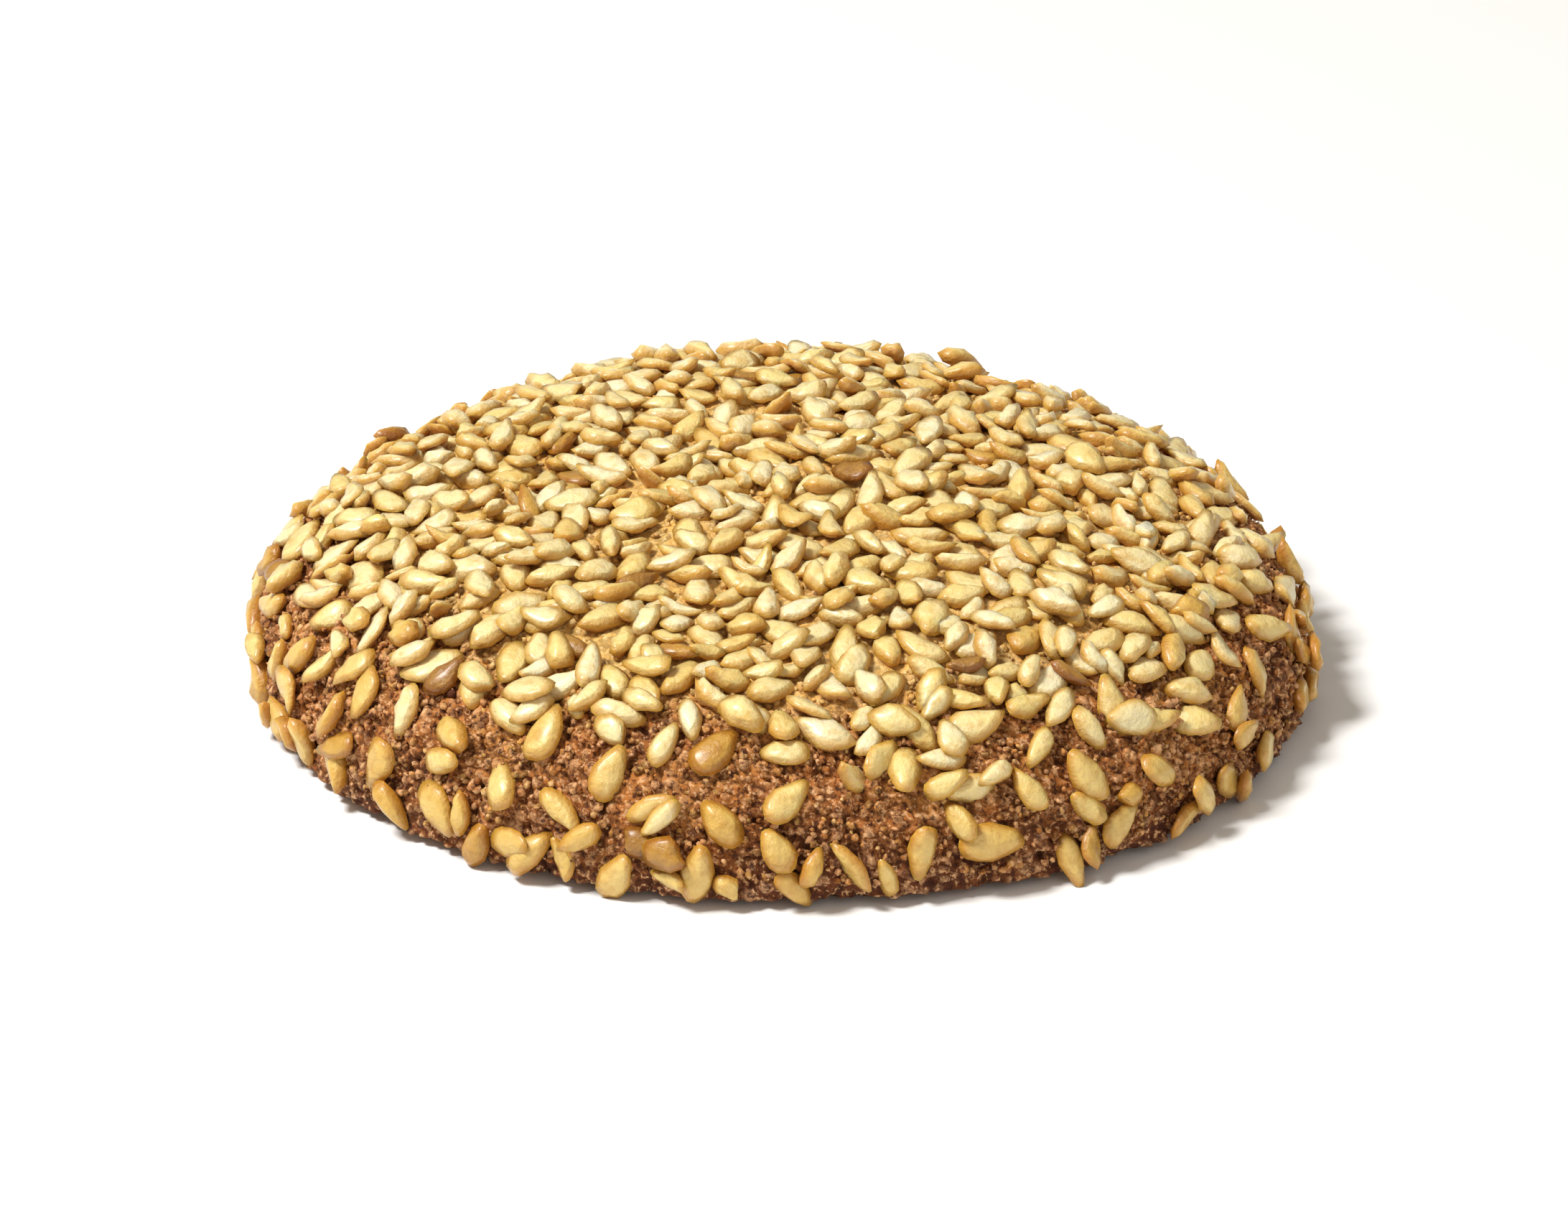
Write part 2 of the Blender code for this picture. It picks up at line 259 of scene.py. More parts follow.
@dataclass(frozen=True)
class ToastedSesame:
    """Hulled sesame toasted in the oven: waxy, pale gold, deeper at the edge and pointed end, with painted
    shade at edge and foot.
    """

    pale: str = "#f4e4b8"
    gold: str = "#e9ce84"
    amber: str = "#d8b056"
    toasted: str = "#bd8c30"
    burnt: str = "#875820"
    # The edge's colour: partly toasting, partly painted shade
    edge_toast_and_shade: str = "#d8b040"
    blotch: str = "#dec070"
    # Painted shade at the foot of each seed, where it meets the dough and its neighbours
    foot: str = "#d6a236"
    cloud: float = 1.4 * MM
    mottle: float = 1.0 * MM
    wrinkle: float = 0.50 * MM
    wrinkle_depth: float = 0.20 * MM
    shoulder_depth: float = 0.09 * MM
    roughness: float = 0.44
    refraction: float = 1.47
    gloss: float = 0.55
    gloss_roughness: float = 0.28
    waxy: float = 0.45
    glow_depth: float = 0.9 * MM
    glow: tuple[float, float, float] = (1.0, 0.78, 0.22)

    def material(self) -> bpy.types.Material:
        """Make the seeds' material.

        Returns:
            The material.
        """
        made, shader, add = start_material("toasted_sesame", {
            "Roughness": self.roughness, "IOR": self.refraction, "Subsurface Weight": self.waxy,
            "Subsurface Radius": self.glow, "Subsurface Scale": self.glow_depth,
            "Coat Weight": self.gloss, "Coat Roughness": self.gloss_roughness,
        })
        where = add("TexCoord", {})
        place, chart = where.outputs["Object"], where.outputs["UV"]
        toast = add("Attribute", {}, attribute_name="toast").outputs["Fac"]
        level = add("Attribute", {}, attribute_name="level").outputs["Fac"]
        fine = {"Vector": place, "Detail": 3.0, "Roughness": 0.6}

        # Clouding under the skin of each seed
        cloud = add("TexNoise", {**fine, "Scale": 1.0 / self.cloud})
        shift = add("Math", {0: cloud, 1: 0.34, 2: -0.17}, operation="MULTIPLY_ADD")
        warmth = add("Math", {0: toast, 1: shift}, operation="ADD", use_clamp=True)
        skin = add("ValToRGB", {"Fac": warmth}, stops=(
            (0.0, self.pale), (0.3, self.gold), (0.55, self.amber), (0.78, self.toasted), (1.0, self.burnt)
        ))

        # The map runs along and across each seed, so its edge and its point can be told from its back
        along = add("SeparateXYZ", {"Vector": chart})
        from_middle = add("VectorMath", {0: chart, 1: (0.5, 0.5, 0.0)}, operation="DISTANCE")

        # The edge is deeper, partly toasted and partly painted shade, and the point browner; the foot is
        # darkened with painted shade where the seed meets the dough and its neighbours; and blotches about a
        # millimetre across show where the skin took more heat
        mottle = add("TexNoise", {**fine, "Scale": 1.0 / self.mottle})
        for source, start, end, most, blend, shade in (
            # The edge: partly toasting, partly painted shade
            (from_middle, 0.30, 0.50, 0.95, TINT, self.edge_toast_and_shade),
            (along, 0.86, 1.0, 0.55, COVER, self.toasted),
            # The foot: painted shade
            (level, 0.50, 0.12, 0.85, TINT, self.foot),
            (mottle, 0.50, 0.72, 0.6, TINT, self.blotch),
        ):
            part = add("MapRange", {"Value": source, "From Min": start, "From Max": end, "To Max": most})
            skin = add("Mix", {"Factor": part, "A": skin, "B": linear(shade)}, **blend)

        # The back is a little flat up to a soft shoulder, with the fine wrinkles of dried skin
        fall = {"From Min": 0.30, "From Max": 0.42, "To Min": 1.0, "To Max": 0.0}
        shoulder = add("MapRange", {"Value": from_middle, **fall}, interpolation_type="SMOOTHSTEP")
        flat = add("Bump", {"Height": shoulder, "Strength": 1.0, "Distance": self.shoulder_depth})
        wrinkle = add("TexNoise", {**fine, "Scale": 1.0 / self.wrinkle})
        dried = {"Strength": 1.0, "Distance": self.wrinkle_depth}
        bump = add("Bump", {"Height": wrinkle, "Normal": flat, **dried})

        # The gloss comes and goes with the wrinkles
        rough = {"Value": wrinkle, "To Min": self.roughness - 0.1, "To Max": self.roughness + 0.14}
        fill(shader, {"Base Color": skin, "Roughness": add("MapRange", rough), "Normal": bump})
        return made


@dataclass(frozen=True)
class RoastedPistachio:
    """Chopped roasted pistachio: yellow-green flesh with olive and brown skin left in places."""

    flesh: str = "#a9a24a"
    green: str = "#7d8434"
    skin: str = "#6e4a2c"
    mottle: float = 1.8 * MM
    mottle_depth: float = 0.12 * MM
    roughness: float = 0.55
    refraction: float = 1.46

    def material(self) -> bpy.types.Material:
        """Make the slivers' material.

        Returns:
            The material.
        """
        even = {"Roughness": self.roughness, "IOR": self.refraction}
        made, shader, add = start_material("roasted_pistachio", even)
        where = add("TexCoord", {}).outputs["Object"]
        mottled = {"Scale": 1.0 / self.mottle, "Detail": 4.0, "Roughness": 0.6}
        mottle = add("TexNoise", {"Vector": where, **mottled})
        stops = ((0.36, self.skin), (0.47, self.green), (0.62, self.flesh))
        bump = add("Bump", {"Height": mottle, "Strength": 0.5, "Distance": self.mottle_depth})
        fill(shader, {"Base Color": add("ValToRGB", {"Fac": mottle}, stops=stops), "Normal": bump})
        return made


@dataclass(frozen=True)
class StudioPaper:
    """Seamless background paper: matte and nearly white."""

    shade: str = "#f4f3f0"
    roughness: float = 0.9

    def material(self) -> bpy.types.Material:
        """Make the floor's material."""
        even = {"Base Color": linear(self.shade), "Roughness": self.roughness}
        return start_material("studio_paper", even)[0]


# Finished meshes

# Points and faces of a small shape, and its values by name, each for all of its points or for every one
Cast = tuple[np.ndarray, list[tuple[int, ...]], dict[str, float | np.ndarray]]


def smooth_mesh(name: str, shell: bmesh.types.BMesh) -> bpy.types.Mesh:
    """Turn a bmesh into a mesh with smooth faces.

    Args:
        name: The mesh's name.
        shell: The bmesh, which is freed.

    Returns:
        The mesh.
    """
    for face in shell.faces:
        face.smooth = True
    mesh = bpy.data.meshes.new(name)
    shell.to_mesh(mesh)
    shell.free()
    return mesh


def show(mesh: bpy.types.Mesh, dressed: bpy.types.Material) -> bpy.types.Object:
    """Put a mesh in the scene.

    Args:
        mesh: The mesh, which gives its object its name.
        dressed: Its material.

    Returns:
        The object.
    """
    mesh.materials.append(dressed)
    shown = bpy.data.objects.new(mesh.name, mesh)
    bpy.context.scene.collection.objects.link(shown)
    return shown


def settle(mesh: bpy.types.Mesh, dressed: bpy.types.Material) -> bpy.types.Object:
    """Make a mesh a piece that rides on the biscuit's body and stands for its solid.

    Args:
        mesh: The piece's mesh.
        dressed: Its material.

    Returns:
        The piece.
    """
    piece = show(mesh, dressed)
    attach(piece, BODY)
    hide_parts(NODE)
    return piece


def join_casts(name: str, casts: list[Cast]) -> bpy.types.Mesh:
    """Join many small shapes in one mesh.

    Args:
        name: The mesh's name.
        casts: The shapes.

    Returns:
        The mesh, with the shapes' values as attributes of its points.
    """
    faces, count = [], 0
    for points, corners, _ in casts:
        faces.extend(tuple(corner + count for corner in face) for face in corners)
        count += len(points)
    made = bpy.data.meshes.new(name)
    made.from_pydata(np.concatenate([points for points, _, _ in casts]).tolist(), [], faces)
    made.polygons.foreach_set("use_smooth", np.ones(len(faces), dtype=bool))
    for value in casts[0][2]:
        spread = np.concatenate([np.broadcast_to(values[value], len(points)) for points, _, values in casts])
        made.attributes.new(value, "FLOAT", "POINT").data.foreach_set("value", spread)
    return made


# The dough


@dataclass
class DoughForm:
    """The dough's smooth form: a turned profile whose rim and top wander a little.

    An outline wave is its lobes, size and turn, a top swell its length, size, heading and phase.
    """

    radius: float = 31.9 * MM
    height: float = 12.2 * MM
    underside: float = 0.45 * MM
    power: float = 3.0
    steps: int = 240
    first_share: float = 0.004
    last_share: float = 0.996
    share_step: float = 0.003
    angle_step: float = 0.004
    outline_waves: tuple[tuple[int, float, float], ...] = (
        (2, 0.36 * MM, 0.9), (3, 0.16 * MM, 2.3), (5, 0.14 * MM, 4.1), (8, 0.12 * MM, 1.2)
    )
    top_swells: tuple[tuple[float, float, float, float], ...] = (
        (31.0 * MM, 0.26 * MM, 0.5, 0.4), (19.0 * MM, 0.20 * MM, 2.1, 1.9), (13.0 * MM, 0.14 * MM, 3.8, 5.0)
    )
    table: list[tuple[float, float, float]] = field(init=False)

    def __post_init__(self) -> None:
        """Walk the profile once, from the top's centre to the foot of the rim."""
        points = []
        for step in range(self.steps + 1):
            turn = 0.5 * math.pi * step / self.steps
            radius = self.radius * math.sin(turn) ** (2.0 / self.power)
            fall = max(math.cos(turn), 0.0) ** (2.0 / self.power)
            points.append((radius, self.underside + (self.height - self.underside) * fall))
        walked = [0.0]
        for before, after in zip(points, points[1:]):
            walked.append(walked[-1] + math.dist(before, after))
        self.table = [(way / walked[-1], *point) for way, point in zip(walked, points)]

    def profile(self, share: float) -> tuple[float, float]:
        """Find a place on the profile.

        Args:
            share: The place's share.

        Returns:
            Its radius and height.
        """
        share = clamp(share)
        next_row = min(bisect_right(self.table, share, key=itemgetter(0)), self.steps)
        before, after = self.table[next_row - 1], self.table[next_row]
        blend = (share - before[0]) / (after[0] - before[0])
        return before[1] + (after[1] - before[1]) * blend, before[2] + (after[2] - before[2]) * blend

    def outline_growth(self, angle: float) -> float:
        """Return how far the rim stands out at an angle, against a true circle."""
        return sum(size * math.cos(lobes * angle + turn) for lobes, size, turn in self.outline_waves)

    def top_growth(self, x: float, y: float) -> float:
        """Find how far the top swells at a place.

        Args:
            x: Place along X.
            y: Place along Y.

        Returns:
            The swell's height.
        """
        total = 0.0
        for length, size, heading, phase in self.top_swells:
            along = x * math.cos(heading) + y * math.sin(heading)
            total += size * math.sin(FULL_TURN * along / length + phase)
        return total

    def point(self, share: float, angle: float) -> Vector:
        """Find a point of the smooth surface.

        Args:
            share: The point's share.
            angle: Its angle round the biscuit.

        Returns:
            The point.
        """
        radius, height = self.profile(share)
        radius += self.outline_growth(angle) * (radius / self.radius) ** 2
        x = radius * math.cos(angle)
        y = radius * math.sin(angle)
        lift = (height - self.underside) / (self.height - self.underside)
        return Vector((x, y, height + self.top_growth(x, y) * lift))

    def outward(self, share: float, angle: float) -> tuple[Vector, Vector]:
        """Find a point of the smooth surface and the way that it faces.

        Args:
            share: The point's share.
            angle: Its angle round the biscuit.

        Returns:
            The point and its outward direction.
        """
        share = clamp(share, self.first_share, self.last_share)
        downhill = self.point(share + self.share_step, angle) - self.point(share - self.share_step, angle)
        along = self.point(share, angle + self.angle_step) - self.point(share, angle - self.angle_step)
        return self.point(share, angle), downhill.cross(along).normalized()


@dataclass
class Dough:
    """The baked dough: one closed mesh whose crust is granular and cracked, most of all at the rim."""

    form: DoughForm
    finish: BakedDough
    around: int = 640
    face_rings: int = 50
    rim_rings: int = 58
    underside_rings: int = 46
    rim_start: float = 0.66
    centre_ring: float = 1.9999
    weld: float = 0.001 * MM
    lowest: float = 0.06 * MM
    first_draw: int = 31

    # The crust's relief, which is calm on the face and full past a share
    grain: float = 0.85 * MM
    grain_height: float = 0.46 * MM
    grain_middle: float = 0.7
    grain_groove: float = 0.5
    grain_bend: float = 2.3 * MM
    grain_sway: float = 0.4
    crack: float = 4.2 * MM
    crack_depth: float = 0.60 * MM
    crack_width: float = 0.15
    side_crack: float = 0.4
    side_crack_share: float = 0.35
    swell: float = 1.5 * MM
    swell_height: float = 0.26 * MM
    calm_on_face: float = 0.42
    rough_part: tuple[float, float] = (0.62, 0.2)
    crags: tuple[float, float, float] = (0.50, 0.28, 0.25)
    tray_relief: float = 0.5
    tray_press: float = 0.04 * MM
    tray_crags: tuple[float, float] = (0.3, 0.55)

    # The browning of the face, the rim, its foot, which painted shade darkens as well, the underside on the
    # tray and in patches
    face_bake: float = 0.06
    rim_bake: float = 0.60
    foot_browning_and_shade: float = 0.34
    foot_part: tuple[float, float] = (0.84, 0.16)
    tray_paling: float = 0.28
    tray_part: tuple[float, float] = (1.0, 0.2)
    patch_bake: float = 0.18
    patch: float = 7.0 * MM

    def crust(self, place: Vector, share: float) -> tuple[float, float]:
        """Work out the crust's relief at a place of the smooth form.

        Args:
            place: The point of the smooth form.
            share: Its share.

        Returns:
            The relief along the outward direction, and its level from 0 in a crevice to 1 on a crest.
        """
        sway = noise.noise_vector(place / self.grain_bend) * self.grain_sway
        cells = noise.voronoi(place / self.grain + sway)[0]
        cobble = min(cells[1] - cells[0], self.grain_groove) / self.grain_groove
        side = abs(noise.noise(place / (self.side_crack * self.crack)))
        ridge = abs(noise.noise(place / self.crack)) + self.side_crack_share * side
        split = min(ridge / self.crack_width, 1.0)
        swell = noise.fractal(place / self.swell, 1.0, 2.0, 4)
        level = self.crags[0] * cobble + self.crags[1] * split + self.crags[2] * (0.5 + 0.9 * swell)
        strength = self.calm_on_face + (1.0 - self.calm_on_face) * climb(share, *self.rough_part)
        relief = (cobble - self.grain_middle) * self.grain_height + (split - 1.0) * self.crack_depth
        return (relief + swell * self.swell_height) * strength, clamp(level)

    def bake(self, place: Vector, share: float) -> float:
        """Work out how brown the crust is, with painted shade at the rim's foot, from 0 for golden to 1 for
        scorched.

        Args:
            place: The point of the smooth form.
            share: Its share.

        Returns:
            The browning.
        """
        browning = self.face_bake + self.rim_bake * climb(share, *RIM_BROWNING)
        # Darker towards the rim's foot: partly browning and partly painted shade
        browning += self.foot_browning_and_shade * climb(share, *self.foot_part)
        browning -= self.tray_paling * climb(share, *self.tray_part)
        return browning + self.patch_bake * noise.noise(place / self.patch)

    def shares(self) -> list[float]:
        """Work out the rings of the mesh, from the top's centre to the underside's.

        Returns:
            The share of each ring.
        """
        rim_length = 1.0 - self.rim_start
        face = [self.rim_start * (ring / self.face_rings) for ring in range(self.face_rings)]
        rim = [self.rim_start + rim_length * ring / self.rim_rings for ring in range(self.rim_rings + 1)]
        below = [1.0 + ring / self.underside_rings for ring in range(1, self.underside_rings + 1)]
        return face + rim + below

    def build(self) -> bpy.types.Object:
        """Make the dough's mesh and dress it.

        Returns:
            The dough.
        """
        noise.seed_set(self.first_draw)
        shell = bmesh.new()
        spoke = [shell.verts.new((share, 0.0, 0.0)) for share in self.shares()]
        edges = [shell.edges.new(pair) for pair in zip(spoke, spoke[1:])]
        bmesh.ops.spin(
            shell, geom=spoke + edges, axis=(0.0, 0.0, 1.0), cent=(0.0, 0.0, 0.0),
            angle=FULL_TURN, steps=self.around, use_merge=True
        )
        bake_layer = shell.verts.layers.float.new("bake")
        crag_layer = shell.verts.layers.float.new("crag")
        for corner in shell.verts:
            share = corner.co.xy.length
            angle = math.atan2(corner.co.y, corner.co.x) if 0.0 < share < self.centre_ring else 0.0
            if share <= 1.0:
                place, outward = self.form.outward(share, angle)
            else:
                inward = max(2.0 - share, 0.0)
                foot = self.form.point(self.form.last_share, angle)
                place, outward = Vector((foot.x * inward, foot.y * inward, self.form.underside)), DOWN
            relief, level = self.crust(place, share)
            if share > 1.0:
                relief = relief * self.tray_relief - self.tray_press
                level = self.tray_crags[0] + self.tray_crags[1] * level
            corner.co = place + outward * relief
            corner.co.z = max(corner.co.z, self.lowest)
            corner[bake_layer] = self.bake(place, share)
            corner[crag_layer] = level
        bmesh.ops.remove_doubles(shell, verts=shell.verts, dist=self.weld)
        bmesh.ops.recalc_face_normals(shell, faces=shell.faces)
        return settle(smooth_mesh("dough", shell), self.finish.material())


@dataclass
class Crumbs:
    """Sandy grains of dough that stand on the crust, thickest on the rim."""

    form: DoughForm
    grains: int = 9500
    first_draw: int = 640
    on_rim: float = 0.78
    rim_shares: tuple[float, float] = (0.60, 0.97)
    face_edge: float = 0.62
    sizes: tuple[float, float] = (0.24 * MM, 0.60 * MM)
    stretch: tuple[float, float] = (0.7, 1.3)
    jitter: tuple[float, float] = (0.6, 1.3)
    most_turn: float = 6.3
    stand_in_mm: tuple[float, float] = (-0.20, 0.06)
    face_bake: float = 0.06
    rim_bake: float = 0.55
    bake_spread: float = 0.14
    crags: tuple[float, float] = (0.3, 1.0)

    def build(self, dressed: bpy.types.Material) -> bpy.types.Object:
        """Scatter the grains and join them.

        Args:
            dressed: The dough's material.

        Returns:
            The crumbs.
        """
        draw = random.Random(self.first_draw)
        ball = bmesh.new()
        bmesh.ops.create_icosphere(ball, subdivisions=1, radius=0.5)
        ball.verts.index_update()
        shape = np.array([corner.co[:] for corner in ball.verts])
        faces = [tuple(corner.index for corner in face.verts) for face in ball.faces]
        ball.free()
        casts = []
        for _ in range(self.grains):
            if draw.random() < self.on_rim:
                share = draw.uniform(*self.rim_shares)
            else:
                share = self.face_edge * math.sqrt(draw.random())
            place, outward = self.form.outward(share, draw.uniform(0.0, FULL_TURN))
            size = draw.uniform(*self.sizes)
            stretch = [size * draw.uniform(*self.stretch) for _ in range(3)]
            jitter = np.array([[draw.uniform(*self.jitter)] for _ in shape])
            turn = draw.uniform(0.0, self.most_turn)
            turned = Matrix.Rotation(turn, 3, Vector([draw.random() for _ in range(3)]))
            block = (shape * jitter * np.array(stretch)) @ np.array(turned).T
            block = block + np.array(place + outward * draw.uniform(*self.stand_in_mm) * MM)
            block[:, 2] = np.maximum(block[:, 2], 0.0)
            bake = self.face_bake + self.rim_bake * climb(share, *RIM_BROWNING)
            bake = clamp(bake + draw.gauss(0.0, self.bake_spread))
            casts.append((block, faces, {"bake": bake, "crag": draw.uniform(*self.crags)}))
        return settle(join_casts("dough_crumbs", casts), dressed)


# The seeds


class SeedShape(Enum):
    """The forms that dried sesame seeds take: width, thickness, bend, dent and where the end is cut."""

    PLUMP = (1.10, 1.16, 0.00, 0.00, 0.60)
    FLAT = (1.16, 0.86, 0.03, 0.26, 0.60)
    SLIM = (0.90, 1.06, 0.03, 0.00, 0.60)
    BENT = (1.04, 0.98, 0.11, 0.05, 0.60)
    DENTED = (1.14, 1.06, -0.04, 0.42, 0.60)
    CURLED = (0.98, 0.80, 0.22, 0.15, 0.60)
    BROKEN = (1.10, 1.10, 0.00, 0.10, 0.20)


@dataclass(frozen=True)
class Place:
    """Where and how a seed lies: its size, its point on the dough and the ways that it faces."""

    scale: float
    slimness: float
    point: Vector
    outward: Vector
    heading: Vector
    pitch: float = 0.0
    roll: float = 0.0
    lift: float = 0.24 * MM

    def matrix(self) -> Matrix:
        """Work out the matrix that sets the seed in its place.

        Returns:
            The matrix, from a seed that points along +X on a level surface at its origin.
        """
        ahead = (self.heading - self.outward * self.heading.dot(self.outward)).normalized()
        aside = self.outward.cross(ahead)
        turned = Matrix((ahead, aside, self.outward)).transposed().to_4x4()
        rocked = Matrix.Rotation(-self.pitch, 4, "Y") @ Matrix.Rotation(self.roll, 4, "X")
        return Matrix.Translation(self.point) @ turned @ rocked @ Matrix.Translation((0.0, 0.0, self.lift))


@dataclass
class SeedGrid:
    """The seeds laid so far, sorted by the square of the dough that each lies on."""

    reach: float
    squares: dict[tuple[int, int], list[Place]] = field(default_factory=dict)

    def square(self, point: Vector) -> tuple[int, int]:
        """Return the square that a point lies in."""
        return math.floor(point.x / self.reach), math.floor(point.y / self.reach)

    def add(self, place: Place) -> None:
        """Note a seed."""
        self.squares.setdefault(self.square(place.point), []).append(place)

    def near(self, point: Vector) -> list[Place]:
        """Find the seeds that lie within reach of a point.

        Args:
            point: The point.

        Returns:
            The seeds.
        """
        column, row = self.square(point)
        found = []
        for x in (column - 1, column, column + 1):
            for y in (row - 1, row, row + 1):
                found.extend(self.squares.get((x, y), ()))
        return [place for place in found if (place.point - point).length < self.reach]


# Middle of each thing that is already laid, and the points along it that others stay away from
Laid = list[tuple[Vector, list[Vector]]]


@dataclass
class SesameLaying:
    """The rule by which the seeds are laid on the dough, largest first."""

    form: DoughForm
    length: float = 3.35 * MM
    width: float = 2.0 * MM
    thickness: float = 1.10 * MM
    least: float = 0.86
    most: float = 1.20
    large_slimness: tuple[float, float] = (0.9, 1.1)
    large_seeds: int = 306
    tries: int = 36
    first_draw: int = 418
    heading_tries: int = 12
    heading_parts: tuple[float, float, float] = (-0.34, 0.0, 0.34)
    heading_reach: float = 2.5
    rock: float = 0.16
    standing_every: int = 17
    standing: tuple[float, float] = (0.45, 0.95)
    rim_spread: float = 1.14
    spread_part: tuple[float, float] = (0.76, 0.1)
    lowest: float = 0.9 * MM

    # The smaller seeds, and how they rest on what lies under them
    gap_seeds: int = 625
    gap_rim_share: float = 0.16
    dense_edge: float = 0.74
    dense_blur: float = 0.012
    gap_draw: int = 2209
    gap_tries: int = 24
    rim_tries: int = 7
    gap_sizes: tuple[float, float, float] = (0.62, 1.08, 0.90)
    gap_slimness: tuple[float, float] = (0.86, 1.1)
    gap_rocks: tuple[float, float] = (0.10, 0.12)
    gap_lift: float = 0.20 * MM
    grid_reach: float = 1.3
    felt_along: float = 0.8
    felt_across: float = 0.7
    belly: float = 0.36
    press: float = 0.28 * MM
    steepest: float = 0.50

    def sizes(self, draw: random.Random, count: int) -> list[tuple[float, float]]:
        """Draw the seeds' sizes.

        Args:
            draw: The source of chance.
            count: How many seeds.

        Returns:
            Size and slimness of each seed, the largest seed first.
        """
        drawn = sorted((draw.triangular(self.least, self.most, 1.0) for _ in range(count)), reverse=True)
        return [(size, draw.uniform(*self.large_slimness)) for size in drawn]

    def clearest_heading(
        self, draw: random.Random, point: Vector, outward: Vector, length: float, laid: Laid
    ) -> tuple[Vector, list[Vector]]:
        """Find the heading whose ends stay farthest from the seeds laid.

        Args:
            draw: The source of chance.
            point: The seed's place.
            outward: The way that the dough faces there.
            length: The seed's length.
            laid: What is already laid.

        Returns:
            The heading, and the seed's ends and middle.
        """
        across = outward.orthogonal().normalized()
        up = outward.cross(across)
        first = draw.uniform(0.0, FULL_TURN)
        reach = self.heading_reach * self.length
        others = [other for middle, ends in laid if (middle - point).length < reach for other in ends]
        tried = []
        for attempt in range(self.heading_tries):
            angle = first + math.pi * attempt / self.heading_tries
            heading = across * math.cos(angle) + up * math.sin(angle)
            ends = [point + heading * length * part for part in self.heading_parts]
            room = min(((end - other).length for end in ends for other in others), default=1.0)
            tried.append((room, heading, ends))
        return max(tried, key=itemgetter(0))[1:]

    def seed_rock(self, draw: random.Random, number: int) -> tuple[float, float]:
        """Draw how far a seed rocks.

        Args:
            draw: The source of chance.
            number: The seed's number in the order of laying.

        Returns:
            Pitch and roll.
        """
        pitch = draw.gauss(0.0, self.rock)
        roll = draw.gauss(0.0, self.rock)
        if number % self.standing_every == self.standing_every - 1:
            steep = draw.uniform(*self.standing)
            if draw.random() < 0.5:
                pitch = steep
            else:
                roll = math.copysign(steep, roll)
        return pitch, roll

    def somewhere(self, draw: random.Random) -> tuple[float, float]:
        """Draw a place on the dome or rim, each part of the surface as likely as any other.

        Args:
            draw: The source of chance.

        Returns:
            The place's share and angle.
        """
        while True:
            share = draw.random()
            radius, height = self.form.profile(share)
            if draw.random() * self.form.radius < radius and height > self.lowest + self.form.underside:
                return share, draw.uniform(0.0, FULL_TURN)

    def lay_large(self) -> list[Place]:
        """Lay the large seeds where the solid has them.

        Returns:
            Their places.
        """
        draw = random.Random(self.first_draw)
        laid: Laid = []
        places = []
        for number, (scale, slimness) in enumerate(self.sizes(draw, self.large_seeds)):
            tried = []
            for _ in range(self.tries):
                share, angle = self.somewhere(draw)
                point = self.form.point(share, angle)
                spread = 1.0 + (self.rim_spread - 1.0) * climb(share, *self.spread_part)
                room = min(((middle - point).length for middle, _ in laid), default=1.0) / spread
                tried.append((room, share, angle))
            point, outward = self.form.outward(*max(tried, key=itemgetter(0))[1:])
            heading, ends = self.clearest_heading(draw, point, outward, self.length * scale, laid)
            laid.append((point, ends))
            places.append(Place(scale, slimness, point, outward, heading, *self.seed_rock(draw, number)))
        return places

    def top_at(self, spot: Vector, near: list[Place]) -> float:
        """Find how high the seeds reach over a spot of the dough.

        Args:
            spot: The spot.
            near: The seeds near it.

        Returns:
            The height of the highest back there, or 0 where the dough is bare.
        """
        top = 0.0
        for place in near:
            offset = spot - place.point
            along = offset.dot(place.heading)
            across = offset.dot(place.outward.cross(place.heading))
            reach = (along / (0.5 * self.length * place.scale)) ** 2
            reach += (across / (0.5 * self.width * place.scale * place.slimness)) ** 2
            if reach < 1.0:
                back = place.lift + along * math.tan(place.pitch) + across * math.tan(place.roll)
                top = max(top, back + 0.5 * self.thickness * place.scale * math.sqrt(1.0 - reach))
        return top

    def support(self, grid: SeedGrid, trial: Place) -> Place:
        """Let a seed down on what already lies under it.

        Args:
            grid: The seeds that are laid.
            trial: The seed, level on the bare dough.

        Returns:
            The seed as it comes to rest, leaning on its neighbours.
        """
        near = grid.near(trial.point)
        ahead = trial.heading.normalized()
        aside = trial.outward.cross(ahead)
        half = 0.5 * self.length * trial.scale
        broad = 0.5 * self.width * trial.scale * trial.slimness
        spots = [
            (x * self.felt_along * half, y * self.felt_across * broad)
            for x in (-1.0, 0.0, 1.0) for y in (-1.0, 0.0, 1.0)
        ]
        tops = [self.top_at(trial.point + ahead * x + aside * y, near) for x, y in spots]
        uphill = sum(tops[6:]) / 3.0 - sum(tops[:3]) / 3.0
        sideways = sum(tops[2::3]) / 3.0 - sum(tops[0::3]) / 3.0
        pitch = clamp(math.atan(uphill / (2.0 * self.felt_along * half)), -self.steepest, self.steepest)
        roll = clamp(math.atan(sideways / (2.0 * self.felt_across * broad)), -self.steepest, self.steepest)
        base = max(top - x * math.tan(pitch) - y * math.tan(roll) for top, (x, y) in zip(tops, spots))
        lift = max(trial.lift, base + self.belly * self.thickness * trial.scale - self.press)
        return replace(trial, pitch=pitch + trial.pitch, roll=roll + trial.roll, lift=lift)

